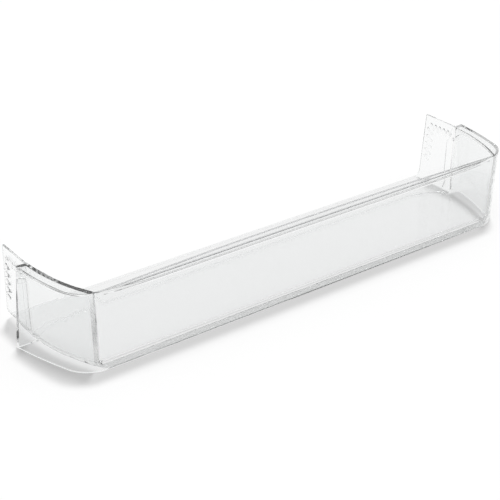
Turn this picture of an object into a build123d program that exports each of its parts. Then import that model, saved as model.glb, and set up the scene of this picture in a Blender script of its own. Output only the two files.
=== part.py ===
"""Fridge door shelf: one clear injection moulding, open towards the door.

A trough with a low floor and a straight front wall. Each end wall is doubled: the inner wall bends in
plan and runs on behind as an ear, and a flared skirt hangs from the rim outside it. Millimetres, +Z up,
+X along the shelf, +Y towards the door, origin under the middle of the part on the plane it stands on.
"""
import os
from math import acos, asin, cos, degrees, radians, sin, sqrt, tan

from build123d import *

# Driving dimensions, overall
overall_length = 486.0  # over the rear feet of the two skirts, before their edge is rounded
overall_depth = 120.0  # from the front lip to the rear edge
rim_height = 70.0  # from the feet to the level rim
wall = 2.5  # every wall and the rim
floor_thickness = 2.5

# Front wall
front_lean = 1.4  # degrees, top further forward
crown_rise = 3.0  # how far the top edge arches above the rim at mid length
lip_overhang = 5.0
lip_thickness = 3.0
lip_end_radius = 260.0  # of the arcs that bring the lip back to the wall

# Skirts, given at the rim and at the foot
skirt_flare = 6.5  # how far each foot stands out beyond the rim
shoulder_depth = 72.2  # from the front face to the shoulder, at the rim
shoulder_round = 1.6  # outer edge between skirt and shoulder
corner_radius = 28.0
rim_corner_turn = 73.6  # degrees, corner arc at the rim
rim_side_radius = 220.0
foot_corner_turn = 68.0  # degrees, corner arc at the foot
foot_side_radius = 380.0

# End walls and ears
shoulder_width = 7.75  # from the ear's face out to the rear corner of the rim
ear_slant = 5.0  # how much further forward the ear's rear edge stands at the rim than at the floor
ear_draft = 0.3  # degrees
bend_lead = 7.0  # how far behind the shoulder the bend begins
bend_radius_rim = 165.0  # inner face of the end wall, in plan
bend_radius_foot = 150.0
end_round = 8.0  # inside, all round the floor

# Relief on the inside of each ear, behind a crease that leaves the rim at the shoulder
ear_relief = 0.5
crease_run = 7.0  # how far the crease leans back below the rim
crease_drop = 16.0  # over which height it does
crease_round = 14.0

# Floor
floor_step = 1.2  # how far the rear strip stands above the well
well_reach = 14.0  # from the shoulder to the well's rear edge
well_corner_radius = 60.0  # where the well's rear edge turns forwards to the end walls
well_corner_lead = 10.0  # how far in front of the shoulder it meets them
riser_landing = 2.0  # from the shoulder back to the end of the step underneath
strip_cover = 0.6  # of the rounded feet over the strip's ends

# Zigzag bead on the outside of each ear
bead_height = 1.5
bead_width = 2.6
row_drop = 11.0  # from the rim down to the middle of the upper row
row_swing = 2.5
row_pitch = 5.8
column_inset = 7.0  # from the ear's rear edge to the middle of the column
column_swing = 3.2
column_length = 36.0
column_teeth = 5
bead_margin = 3.0  # from the shoulder to the first tooth
bead_taper = 25.0  # degrees, on its flanks
bead_root = 0.5  # how deep the bead is rooted in the ear

# Nib on the rear of each shoulder
nib_drop = 15.5  # from the rim down to the nib's underside
nib_inner_height = 2.0
nib_outer_height = 5.0
nib_depth = 1.5
nib_inset = 1.0  # from the skirt's rear edge

overshoot = 12.0  # how far cutting shapes run past the part

# Places that follow
rim_length = overall_length - 2 * skirt_flare
ear_span = rim_length - 2 * shoulder_width
front_edge = -overall_depth / 2
rear_edge = overall_depth / 2
front_face_rim = front_edge + lip_overhang
shoulder = front_face_rim + shoulder_depth
bend_start = shoulder + bend_lead
ear_rear_rim = rear_edge - ear_slant
well_rear = shoulder + well_reach
foot_round = end_round + wall
strip_base = (floor_step + floor_thickness) / 2
strip_inset = foot_round - sqrt(foot_round**2 - (foot_round - strip_base) ** 2) + strip_cover
space_top = rim_height + crown_rise + overshoot


def ear_face(height):
    """Half the span over the ears' outer faces at a height."""
    return ear_span / 2 - (rim_height - height) * tan(radians(ear_draft))


def bend_radius(height):
    """Radius of the end wall's inner face in plan at a height."""
    return bend_radius_foot + (bend_radius_rim - bend_radius_foot) * height / rim_height


def front_face(height):
    """Where the front wall's outer face stands at a height."""
    return front_face_rim + (rim_height - height) * tan(radians(front_lean))


def ear_rear(height):
    """Where the ear's slanting rear edge stands at a height."""
    share = (rim_height - height) / (rim_height - floor_step)
    return ear_rear_rim + (rear_edge - ear_rear_rim) * share


def skirt_side_turn(front, rear, corner_turn, side_radius):
    """Degrees that the side arc turns through from the corner arc to the shoulder."""
    corner_end = front + corner_radius * (1 - cos(radians(corner_turn)))
    return degrees(acos(cos(radians(corner_turn)) - (rear - corner_end) / side_radius)) - corner_turn


def skirt_front_run(half_length, front, rear, corner_turn, side_radius):
    """Half the straight front of the skirt outline, so that its shoulder comes out at the half length."""
    end_turn = corner_turn + skirt_side_turn(front, rear, corner_turn, side_radius)
    corner_reach = corner_radius * sin(radians(corner_turn))
    side_reach = side_radius * (sin(radians(end_turn)) - sin(radians(corner_turn)))
    return half_length - corner_reach - side_reach


def skirt_outline(half_length, front, rear, corner_turn, side_radius, inset):
    """Front line, corner arc, side arc and shoulder of one level, moved inwards by the inset."""
    front_run = skirt_front_run(half_length, front, rear, corner_turn, side_radius)
    end_level = front + corner_radius * (1 - cos(radians(corner_turn)))
    centre_level = end_level + side_radius * cos(radians(corner_turn))
    end_turn = degrees(acos((centre_level - rear + inset) / (side_radius - inset)))
    with BuildLine() as outline:
        run = Line((0, front + inset), (front_run, front + inset))
        corner = JernArc(run @ 1, run % 1, corner_radius - inset, corner_turn)
        side = JernArc(corner @ 1, corner % 1, side_radius - inset, end_turn - corner_turn)
        Line(side @ 1, (0, rear - inset))
        mirror(about=Plane.YZ)
    make_face(outline.edges())


def foot_outline(inset):
    """The skirt outline where it stands."""
    skirt_outline(overall_length / 2, front_face(0), shoulder, foot_corner_turn, foot_side_radius, inset)


def rim_outline(inset):
    """The skirt outline at the rim."""
    skirt_outline(rim_length / 2, front_face_rim, shoulder, rim_corner_turn, rim_side_radius, inset)


front_half = skirt_front_run(rim_length / 2, front_face_rim, shoulder, rim_corner_turn, rim_side_radius)


def trough_outline(face, front, rear, radius):
    """Trough in plan: straight ears, bent end walls and a straight front."""
    turn = degrees(asin((bend_start - front) / radius))
    with BuildLine() as outline:
        back = Line((0, rear), (face, rear))
        ear = Line(back @ 1, (face, bend_start))
        bend = JernArc(ear @ 1, ear % 1, radius, -turn)
        Line(bend @ 1, (0, front))
        mirror(about=Plane.YZ)
    make_face(outline.edges())


def block_outline(height):
    """Outside of the trough at a height, with its front in the middle of the front wall."""
    front = front_face(height) + wall / 2
    trough_outline(ear_face(height), front, rear_edge + overshoot, bend_radius(height) + wall)


def space_outline(height, relief):
    """Inside of the trough at a height, open behind the rear edge, its ends moved out by the relief."""
    front = front_face(height) + wall
    trough_outline(ear_face(height) - wall + relief, front, rear_edge + 2 * overshoot, bend_radius(height))


def floor_edges(block, ends_only):
    """Edges round the underside of a block, or only those under its end walls and ears."""
    lowest = block.edges().group_by(Axis.Z)[0]
    if ends_only:
        return lowest.filter_by(lambda edge: abs(edge.center().X) > front_half - corner_radius)
    return lowest


def strip_outline(front, end_level, mode):
    """Floor behind a front line whose ends turn forwards to the ears and run out sideways past them."""
    turn = degrees(acos(1 - (front - end_level) / well_corner_radius))
    end = ear_span / 2
    with BuildLine() as outline:
        run = Line((0, front), (end - well_corner_radius * sin(radians(turn)), front))
        corner = JernArc(run @ 1, run % 1, well_corner_radius, -turn)
        beyond = rear_edge + overshoot
        Polyline(corner @ 1, (end + overshoot, end_level), (end + overshoot, beyond), (0, beyond))
        mirror(about=Plane.YZ)
    make_face(outline.edges(), mode=mode)


def bead_points():
    """Zigzag along the top of an ear towards the rear, then down beside its rear edge."""
    row_start = shoulder + bead_margin
    row_run = ear_rear_rim - column_inset - row_start
    row_teeth = round(row_run / row_pitch)
    column_pitch = column_length / column_teeth
    points = []
    for step in range(2 * row_teeth + 1):
        points.append((row_start + row_run * step / (2 * row_teeth), row_swing * (-1) ** step - row_drop))
    for step in range(1, 2 * column_teeth + 1):
        level = -row_drop - column_pitch * step / 2
        points.append((ear_rear(rim_height + level) - column_inset - column_swing * (-1) ** step, level))
    return points


with BuildPart() as skirt_outside:
    with BuildSketch(Plane.XY):
        foot_outline(0)
    with BuildSketch(Plane.XY.offset(rim_height)):
        rim_outline(0)
    loft(ruled=True)
    fillet(skirt_outside.edges().group_by(Axis.Y)[-1].filter_by(Axis.X, reverse=True), shoulder_round)

with BuildPart() as skirt_inside:
    with BuildSketch(Plane.XY):
        foot_outline(wall)
    with BuildSketch(Plane.XY.offset(rim_height)):
        rim_outline(wall)
    loft(ruled=True)
    split(bisect_by=Plane.XY.offset(rim_height - wall), keep=Keep.BOTTOM)

with BuildPart() as trough_block:
    with BuildSketch(Plane.XY):
        block_outline(0)
    with BuildSketch(Plane.XY.offset(rim_height)):
        block_outline(rim_height)
    loft(ruled=True)
    fillet(floor_edges(trough_block, True), foot_round)

with BuildPart() as trough_space:
    with BuildSketch(Plane.XY.offset(floor_thickness)):
        space_outline(floor_thickness, 0)
    with BuildSketch(Plane.XY.offset(space_top)):
        space_outline(space_top, 0)
    loft(ruled=True)
    fillet(floor_edges(trough_space, False), end_round)

with BuildPart() as ear_space:
    with BuildSketch(Plane.XY.offset(floor_thickness)):
        space_outline(floor_thickness, ear_relief)
    with BuildSketch(Plane.XY.offset(space_top)):
        space_outline(space_top, ear_relief)
    loft(ruled=True)
    fillet(floor_edges(ear_space, False), end_round)
    with BuildSketch(Plane.YZ):
        with BuildLine():
            crease_foot = (bend_start, 0)
            crease_knee = (shoulder + crease_run, rim_height - crease_drop)
            crease_top = (shoulder - crease_run, rim_height + crease_drop)
            beyond = rear_edge + 2 * overshoot
            crease = FilletPolyline(crease_foot, crease_knee, crease_top, radius=crease_round)
            Polyline(crease @ 1, (beyond, rim_height + crease_drop), (beyond, 0), crease @ 0)
        make_face()
    extrude(amount=ear_span, both=True, mode=Mode.INTERSECT)

rear_normal = (0, rim_height - floor_step, ear_slant)
rear_plane = Plane((0, rear_edge, floor_step), (1, 0, 0), rear_normal)

ear_normal = Vector(cos(radians(ear_draft)), 0, -sin(radians(ear_draft)))
ear_plane = Plane(Vector(ear_span / 2, 0, rim_height) - ear_normal * bead_root, (0, 1, 0), ear_normal)
with BuildPart() as bead:
    with BuildSketch(ear_plane):
        with BuildLine():
            Polyline(*bead_points())
        trace(line_width=bead_width)
    extrude(amount=bead_root + bead_height, taper=bead_taper)

with BuildPart() as nib:
    with BuildSketch(Plane.XZ.offset(-shoulder)):
        nib_level = rim_height - nib_drop
        nib_end = rim_length / 2 - nib_inset
        with BuildLine():
            underside = Line((ear_face(nib_level) - wall / 2, nib_level), (nib_end, nib_level))
            outer = Line(underside @ 1, (nib_end, nib_level + nib_outer_height))
            inner = Line(underside @ 0, ((underside @ 0).X, nib_level + nib_inner_height))
            Line(outer @ 1, inner @ 1)
        make_face()
    extrude(amount=-nib_depth)

with BuildPart() as door_shelf:
    add(skirt_outside.part)
    add(skirt_inside.part, mode=Mode.SUBTRACT)
    add(trough_block.part)
    add(trough_space.part, mode=Mode.SUBTRACT)
    add(ear_space.part, mode=Mode.SUBTRACT)
    # The rear strip of the floor, one step up behind a riser, rooted in the rounded feet of the end walls
    with BuildSketch(Plane.XY.offset(strip_base)):
        strip_face = ear_face(0) - strip_inset
        strip_rear = rear_edge + overshoot
        trough_outline(strip_face, front_face(0) + wall, strip_rear, bend_radius_foot + wall - strip_inset)
        strip_outline(well_rear, shoulder - well_corner_lead, Mode.INTERSECT)
    extrude(amount=floor_step + floor_thickness - strip_base)
    with BuildSketch(Plane.XY):
        strip_outline(well_rear + wall, shoulder + riser_landing, Mode.ADD)
    extrude(amount=floor_step, mode=Mode.SUBTRACT)
    split(bisect_by=rear_plane, keep=Keep.BOTTOM)
    # The lip, which the end arcs bring back to the wall where the skirts' corners begin
    lip_turn = degrees(acos(1 - lip_overhang / lip_end_radius))
    lip_end_run = lip_end_radius * sin(radians(lip_turn))
    with BuildSketch(Plane.XY.offset(rim_height)):
        with BuildLine():
            lip_run = Line((0, front_edge), (front_half - lip_end_run, front_edge))
            lip_arc = JernArc(lip_run @ 1, lip_run % 1, lip_end_radius, lip_turn)
            lip_root = front_face_rim + wall / 2
            Polyline(lip_arc @ 1, ((lip_arc @ 1).X, lip_root), (0, lip_root))
            mirror(about=Plane.YZ)
        make_face()
    extrude(amount=-lip_thickness)
    # The crown, an arched strip on the straight part of the front wall
    with BuildSketch(Plane.XZ.offset(-front_face_rim)):
        with BuildLine():
            arch_top = (0, rim_height + crown_rise)
            arch = ThreePointArc((-front_half, rim_height), arch_top, (front_half, rim_height))
            Line(arch @ 0, arch @ 1)
        make_face()
    extrude(amount=-wall)
    for feature in (bead, nib):
        add(feature.part)
        mirror(feature.part, about=Plane.YZ)

door_shelf.part.label = "door_shelf"
os.makedirs("parts", exist_ok=True)
export_step(door_shelf.part, "parts/door_shelf.step")
print("volume", door_shelf.part.volume, "solids", len(door_shelf.part.solids()))
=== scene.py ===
"""Fridge door shelf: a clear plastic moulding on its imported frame, standing on a white studio floor.

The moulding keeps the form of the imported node. Its edges are softened as a mould leaves them, and its
plastic is clear, glossy and a little grey where the eye looks along a wall. Metres, +Z up.
"""
from math import cos, radians, sin

import bmesh
import bpy
import numpy as np
from bpy.props import FloatProperty, FloatVectorProperty, IntProperty, PointerProperty
from bpy.types import Operator, Panel, PropertyGroup
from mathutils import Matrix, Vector


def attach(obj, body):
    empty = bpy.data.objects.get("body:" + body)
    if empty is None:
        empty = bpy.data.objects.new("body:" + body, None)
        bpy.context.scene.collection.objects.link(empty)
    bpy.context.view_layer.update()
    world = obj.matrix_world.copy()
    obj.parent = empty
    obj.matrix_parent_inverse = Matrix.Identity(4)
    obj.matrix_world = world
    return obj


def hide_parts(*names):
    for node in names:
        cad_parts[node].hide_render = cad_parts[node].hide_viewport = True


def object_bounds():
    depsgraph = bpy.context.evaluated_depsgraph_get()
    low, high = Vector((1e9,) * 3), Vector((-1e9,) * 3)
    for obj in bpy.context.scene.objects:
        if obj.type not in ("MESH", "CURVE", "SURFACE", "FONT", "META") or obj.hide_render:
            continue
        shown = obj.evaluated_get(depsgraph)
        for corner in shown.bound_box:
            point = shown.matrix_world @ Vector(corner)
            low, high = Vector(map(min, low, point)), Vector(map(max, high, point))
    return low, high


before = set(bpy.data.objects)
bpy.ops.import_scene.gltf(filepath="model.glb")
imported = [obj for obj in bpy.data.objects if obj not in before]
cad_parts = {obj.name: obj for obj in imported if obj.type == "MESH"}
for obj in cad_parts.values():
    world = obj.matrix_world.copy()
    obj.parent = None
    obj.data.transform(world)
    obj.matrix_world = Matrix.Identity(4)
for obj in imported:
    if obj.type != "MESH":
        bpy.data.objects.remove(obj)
cad_low, cad_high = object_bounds()

bl_info = {
    "name": "Fridge door shelf",
    "version": (1, 0, 0),
    "blender": (4, 5, 0),
    "location": "View3D > Sidebar > Door shelf",
    "description": "Dresses a clear door shelf and sets it on a white studio floor",
    "category": "Object",
}

NODE = "door_shelf"


class ShelfMoulding(PropertyGroup):
    """Edges and plastic of the moulding."""
    edge_round: FloatProperty(
        name="Edge round", description="Width of the rounding that the mould leaves on each edge",
        default=0.0006, min=0.0, unit="LENGTH")
    edge_steps: IntProperty(
        name="Edge steps", description="Faces across each rounding", default=3, min=1)
    least_width: FloatProperty(
        name="Least width", description="Narrower faces keep their sharp edges", default=0.002, unit="LENGTH")
    foot_height: FloatProperty(
        name="Foot height", description="Edges lower than this stay sharp", default=0.005, unit="LENGTH")
    merge_distance: FloatProperty(
        name="Merge distance", description="Greatest gap between corners that become one", default=1e-6, unit="LENGTH")
    flat_angle: FloatProperty(
        name="Flat angle", description="Greatest turn between two faces that become one",
        default=radians(0.3), subtype="ANGLE")
    edge_angle: FloatProperty(
        name="Edge angle", description="Least turn between two faces that counts as an edge",
        default=radians(35), subtype="ANGLE")
    tint: FloatVectorProperty(
        name="Tint", description="Colour that the surface lets through", subtype="COLOR",
        default=(0.95, 0.955, 0.955), size=3)
    shadow_tint: FloatVectorProperty(
        name="Shadow tint", description="Share of lamp light that a face lets through head on", subtype="COLOR",
        default=(0.99, 0.99, 0.99), size=3)
    glance_tint: FloatVectorProperty(
        name="Glance tint", description="Share of lamp light that a face lets through at a glance", subtype="COLOR",
        default=(0.66, 0.66, 0.66), size=3)
    depth_colour: FloatVectorProperty(
        name="Depth colour", description="Colour that a long way through the plastic tends to", subtype="COLOR",
        default=(0.3, 0.31, 0.31), size=3)
    depth_density: FloatProperty(
        name="Depth density", description="How fast the plastic takes light, for each metre", default=4.5, min=0.0)
    refraction: FloatProperty(
        name="Refraction", description="Index of refraction of the plastic", default=1.5, min=1.0)
    gloss_low: FloatProperty(
        name="Lowest roughness", description="Roughness where the mould was best polished",
        default=0.02, min=0.0, max=1.0, subtype="FACTOR")
    gloss_high: FloatProperty(
        name="Highest roughness", description="Roughness where the mould was least polished",
        default=0.07, min=0.0, max=1.0, subtype="FACTOR")
    polish_size: FloatProperty(
        name="Polish size", description="Width of the patches of one polish", default=0.054, unit="LENGTH")
    ripple_size: FloatProperty(
        name="Ripple size", description="Width of the faint ripples in the faces", default=0.009, unit="LENGTH")
    ripple_height: FloatProperty(
        name="Ripple height", description="Height of the faint ripples", default=0.000008, unit="LENGTH")


class ShelfStage(PropertyGroup):
    """Floor, light and camera."""
    floor_half: FloatProperty(
        name="Floor half width", description="Half the width of the square floor", default=6.0, unit="LENGTH")
    floor_gap: FloatProperty(
        name="Floor gap", description="Air between the underside and the floor", default=0.0001, unit="LENGTH")
    floor_colour: FloatVectorProperty(
        name="Floor colour", description="Colour of the floor", subtype="COLOR", default=(0.9, 0.9, 0.9), size=3)
    floor_glow: FloatProperty(
        name="Floor glow", description="White that the floor adds where it is seen", default=0.12, min=0.0)
    sky_strength: FloatProperty(
        name="Sky strength", description="Light from all round", default=0.3, min=0.0)
    key_strength: FloatProperty(
        name="Key strength", description="Strength of the high lamp", default=2.25, min=0.0)
    key_spread: FloatProperty(
        name="Key spread", description="Angle that the lamp fills, as seen from the shelf",
        default=radians(8), subtype="ANGLE")
    key_azimuth: FloatProperty(
        name="Key azimuth", description="Direction of the lamp round the shelf", default=radians(130), subtype="ANGLE")
    key_elevation: FloatProperty(
        name="Key elevation", description="Height of the lamp over the floor", default=radians(75.5), subtype="ANGLE")
    view_azimuth: FloatProperty(
        name="View azimuth", description="Direction of the camera round the shelf",
        default=radians(-36.36), subtype="ANGLE")
    view_elevation: FloatProperty(
        name="View elevation", description="Height of the camera over the shelf",
        default=radians(28.34), subtype="ANGLE")
    view_distance: FloatProperty(
        name="View distance", description="From the camera to the point that it looks at",
        default=1.0359, unit="LENGTH")
    view_point: FloatVectorProperty(
        name="View point", description="Point that the camera looks at", subtype="XYZ", unit="LENGTH",
        default=(-0.0335, -0.0078, 0.0299), size=3)
    lens: FloatProperty(
        name="Lens", description="Focal length in millimetres", default=88.2, min=1.0, unit="CAMERA")
    light_bounces: IntProperty(
        name="Light bounces", description="Most turns of a light path, so that long ways inside the walls stay clear",
        default=48, min=0)


def direction(azimuth, elevation):
    """Unit vector towards a place at an azimuth round the shelf, where 0 is its front, and an elevation."""
    return Vector((sin(azimuth) * cos(elevation), -cos(azimuth) * cos(elevation), sin(elevation)))


def new_material(name):
    """An empty node material, as its tree and its output node."""
    material = bpy.data.materials.new(name)
    material.use_nodes = True
    tree = material.node_tree
    tree.nodes.clear()
    return material, tree, tree.nodes.new("ShaderNodeOutputMaterial")


def any_of(tree, *sockets):
    """The largest of several sockets, each 0 or 1."""
    result = sockets[0]
    for socket in sockets[1:]:
        larger = tree.nodes.new("ShaderNodeMath")
        larger.operation = "MAXIMUM"
        tree.links.new(result, larger.inputs[0])
        tree.links.new(socket, larger.inputs[1])
        result = larger.outputs[0]
    return result


def soft_normals(mesh, angle):
    """Normal at each face corner: the mean normal of the faces round it, weighted by their area.

    Only faces that turn less than the angle from the corner's own face count.
    """
    corners, faces = len(mesh.loops), len(mesh.polygons)
    vertex = np.empty(corners, np.int64)
    mesh.loops.foreach_get("vertex_index", vertex)
    corners_of_face = np.empty(faces, np.int64)
    mesh.polygons.foreach_get("loop_total", corners_of_face)
    face = np.repeat(np.arange(faces), corners_of_face)
    normal = np.empty(3 * faces)
    mesh.polygons.foreach_get("normal", normal)
    normal = normal.reshape(faces, 3)
    area = np.empty(faces)
    mesh.polygons.foreach_get("area", area)
    by_vertex = np.argsort(vertex, kind="stable")
    corners_of_vertex = np.bincount(vertex)
    first = np.cumsum(corners_of_vertex) - corners_of_vertex
    pairs = corners_of_vertex[vertex]
    own = np.repeat(np.arange(corners), pairs)
    rank = np.arange(len(own)) - np.repeat(np.cumsum(pairs) - pairs, pairs)
    other = by_vertex[first[vertex[own]] + rank]
    near = (normal[face[own]] * normal[face[other]]).sum(axis=1) > cos(angle)
    share = np.where(near, area[face[other]], 0)[:, None] * normal[face[other]]
    total = np.stack([np.bincount(own, share[:, axis], corners) for axis in range(3)], axis=1)
    return total / np.linalg.norm(total, axis=1, keepdims=True)


def clear_plastic(finish):
    """Glossy clear plastic whose polish varies a little, grey along its depth, that lets lamp light through."""
    material, tree, output = new_material("clear_plastic")
    place = tree.nodes.new("ShaderNodeTexCoord")
    polish = tree.nodes.new("ShaderNodeTexNoise")
    polish.inputs["Scale"].default_value = 1 / finish.polish_size
    tree.links.new(place.outputs["Object"], polish.inputs["Vector"])
    gloss = tree.nodes.new("ShaderNodeMapRange")
    gloss.inputs["To Min"].default_value = finish.gloss_low
    gloss.inputs["To Max"].default_value = finish.gloss_high
    tree.links.new(polish.outputs["Fac"], gloss.inputs["Value"])
    ripple = tree.nodes.new("ShaderNodeTexNoise")
    ripple.inputs["Scale"].default_value = 1 / finish.ripple_size
    tree.links.new(place.outputs["Object"], ripple.inputs["Vector"])
    relief = tree.nodes.new("ShaderNodeBump")
    relief.inputs["Distance"].default_value = finish.ripple_height
    tree.links.new(ripple.outputs["Fac"], relief.inputs["Height"])
    plastic = tree.nodes.new("ShaderNodeBsdfPrincipled")
    plastic.inputs["Base Color"].default_value = (*finish.tint, 1)
    plastic.inputs["Transmission Weight"].default_value = 1.0
    plastic.inputs["IOR"].default_value = finish.refraction
    tree.links.new(gloss.outputs["Result"], plastic.inputs["Roughness"])
    tree.links.new(relief.outputs["Normal"], plastic.inputs["Normal"])
    head_on = tree.nodes.new("ShaderNodeBsdfTransparent")
    head_on.inputs["Color"].default_value = (*finish.shadow_tint, 1)
    glance = tree.nodes.new("ShaderNodeBsdfTransparent")
    glance.inputs["Color"].default_value = (*finish.glance_tint, 1)
    slant = tree.nodes.new("ShaderNodeLayerWeight")
    window = tree.nodes.new("ShaderNodeMixShader")
    tree.links.new(slant.outputs["Facing"], window.inputs["Fac"])
    tree.links.new(head_on.outputs["BSDF"], window.inputs[1])
    tree.links.new(glance.outputs["BSDF"], window.inputs[2])
    path = tree.nodes.new("ShaderNodeLightPath")
    choice = tree.nodes.new("ShaderNodeMixShader")
    tree.links.new(any_of(tree, path.outputs["Is Shadow Ray"], path.outputs["Is Diffuse Ray"]), choice.inputs["Fac"])
    tree.links.new(plastic.outputs["BSDF"], choice.inputs[1])
    tree.links.new(window.outputs["Shader"], choice.inputs[2])
    tree.links.new(choice.outputs["Shader"], output.inputs["Surface"])
    depth = tree.nodes.new("ShaderNodeVolumeAbsorption")
    depth.inputs["Color"].default_value = (*finish.depth_colour, 1)
    depth.inputs["Density"].default_value = finish.depth_density
    tree.links.new(depth.outputs["Volume"], output.inputs["Volume"])
    return material


def studio_floor(stage):
    """Matt pale floor that glows white where it is seen, and keeps the shadow."""
    material, tree, output = new_material("studio_floor")
    matt = tree.nodes.new("ShaderNodeBsdfDiffuse")
    matt.inputs["Color"].default_value = (*stage.floor_colour, 1)
    path = tree.nodes.new("ShaderNodeLightPath")
    seen = any_of(
        tree, path.outputs["Is Camera Ray"], path.outputs["Is Glossy Ray"], path.outputs["Is Transmission Ray"])
    amount = tree.nodes.new("ShaderNodeMath")
    amount.operation = "MULTIPLY"
    amount.inputs[1].default_value = stage.floor_glow
    tree.links.new(seen, amount.inputs[0])
    glow = tree.nodes.new("ShaderNodeEmission")
    tree.links.new(amount.outputs[0], glow.inputs["Strength"])
    both = tree.nodes.new("ShaderNodeAddShader")
    tree.links.new(matt.outputs["BSDF"], both.inputs[0])
    tree.links.new(glow.outputs["Emission"], both.inputs[1])
    tree.links.new(both.outputs["Shader"], output.inputs["Surface"])
    return material


class SHELF_OT_moulding(Operator):
    """Give the moulding its softened edges and its clear plastic."""
    bl_idname = "door_shelf.moulding"
    bl_label = "Moulding"

    def execute(self, context):
        finish = context.scene.shelf_moulding
        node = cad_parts[NODE]
        body = bmesh.new()
        body.from_mesh(node.data)
        body.transform(node.matrix_world)
        bmesh.ops.remove_doubles(body, verts=body.verts, dist=finish.merge_distance)
        bmesh.ops.dissolve_limit(body, angle_limit=finish.flat_angle, verts=body.verts, edges=body.edges)
        edges = [edge for edge in body.edges if self.rounded(edge, finish)]
        bmesh.ops.bevel(
            body, geom=edges, offset=finish.edge_round, offset_type="OFFSET", segments=finish.edge_steps,
            profile=0.5, affect="EDGES", clamp_overlap=False)
        mesh = bpy.data.meshes.new("moulding")
        body.to_mesh(mesh)
        body.free()
        mesh.shade_smooth()
        mesh.normals_split_custom_set(soft_normals(mesh, finish.edge_angle))
        mesh.materials.append(clear_plastic(finish))
        moulding = bpy.data.objects.new("moulding", mesh)
        context.collection.objects.link(moulding)
        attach(moulding, "root")
        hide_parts(NODE)
        return {"FINISHED"}

    def rounded(self, edge, finish):
        """Whether an edge is rounded: it turns sharply above the foot, and both its faces are wide enough."""
        top = max(corner.co.z for corner in edge.verts)
        if edge.calc_face_angle(0) < finish.edge_angle or top < finish.foot_height:
            return False
        return min(face.calc_area() for face in edge.link_faces) > finish.least_width * edge.calc_length()


class SHELF_OT_stage(Operator):
    """Set the floor, the light and the camera."""
    bl_idname = "door_shelf.stage"
    bl_label = "Stage"

    def execute(self, context):
        stage = context.scene.shelf_stage
        half = stage.floor_half
        level = cad_low.z - stage.floor_gap
        mesh = bpy.data.meshes.new("floor")
        corners = [(-half, -half, level), (half, -half, level), (half, half, level), (-half, half, level)]
        mesh.from_pydata(corners, [], [(0, 1, 2, 3)])
        mesh.materials.append(studio_floor(stage))
        floor = bpy.data.objects.new("floor", mesh)
        context.collection.objects.link(floor)
        self.light(context, stage)
        self.camera(context, stage)
        context.scene.view_settings.view_transform = "Standard"
        for limit in ("max_bounces", "transmission_bounces", "glossy_bounces", "transparent_max_bounces"):
            setattr(context.scene.cycles, limit, stage.light_bounces)
        return {"FINISHED"}

    def light(self, context, stage):
        """Even light from all round, and one broad lamp high behind the shelf."""
        world = bpy.data.worlds.new("studio")
        world.use_nodes = True
        tree = world.node_tree
        sky = tree.nodes["Background"]
        path = tree.nodes.new("ShaderNodeLightPath")
        seen = any_of(
            tree, path.outputs["Is Camera Ray"], path.outputs["Is Glossy Ray"], path.outputs["Is Transmission Ray"])
        strength = tree.nodes.new("ShaderNodeMapRange")
        strength.inputs["To Min"].default_value = stage.sky_strength
        strength.inputs["To Max"].default_value = 1.0
        tree.links.new(seen, strength.inputs["Value"])
        sky.inputs["Color"].default_value = (1, 1, 1, 1)
        tree.links.new(strength.outputs["Result"], sky.inputs["Strength"])
        context.scene.world = world
        lamp = bpy.data.lights.new("key", "SUN")
        lamp.energy = stage.key_strength
        lamp.angle = stage.key_spread
        key = bpy.data.objects.new("key", lamp)
        towards = direction(stage.key_azimuth, stage.key_elevation)
        key.rotation_euler = towards.to_track_quat("Z", "Y").to_euler()
        context.collection.objects.link(key)

    def camera(self, context, stage):
        """Camera at the azimuth and elevation, level, looking at the view point."""
        lens = bpy.data.cameras.new("camera")
        lens.lens = stage.lens
        camera = bpy.data.objects.new("camera", lens)
        back = direction(stage.view_azimuth, stage.view_elevation)
        camera.location = Vector(stage.view_point) + back * stage.view_distance
        camera.rotation_euler = back.to_track_quat("Z", "Y").to_euler()
        context.collection.objects.link(camera)
        context.scene.camera = camera


class SHELF_PT_panel(Panel):
    """The operators and the sizes that they use."""
    bl_idname = "SHELF_PT_panel"
    bl_label = "Door shelf"
    bl_space_type = "VIEW_3D"
    bl_region_type = "UI"
    bl_category = "Door shelf"

    def draw(self, context):
        for operator, settings in ((SHELF_OT_moulding, "shelf_moulding"), (SHELF_OT_stage, "shelf_stage")):
            box = self.layout.box()
            box.operator(operator.bl_idname)
            group = getattr(context.scene, settings)
            for name in group.__annotations__:
                box.prop(group, name)


CLASSES = (ShelfMoulding, ShelfStage, SHELF_OT_moulding, SHELF_OT_stage, SHELF_PT_panel)


def register():
    for cls in CLASSES:
        bpy.utils.register_class(cls)
    bpy.types.Scene.shelf_moulding = PointerProperty(type=ShelfMoulding)
    bpy.types.Scene.shelf_stage = PointerProperty(type=ShelfStage)


def unregister():
    del bpy.types.Scene.shelf_stage
    del bpy.types.Scene.shelf_moulding
    for cls in reversed(CLASSES):
        bpy.utils.unregister_class(cls)


def main():
    register()
    bpy.ops.door_shelf.moulding()
    bpy.ops.door_shelf.stage()


if __name__ == "__main__":
    main()
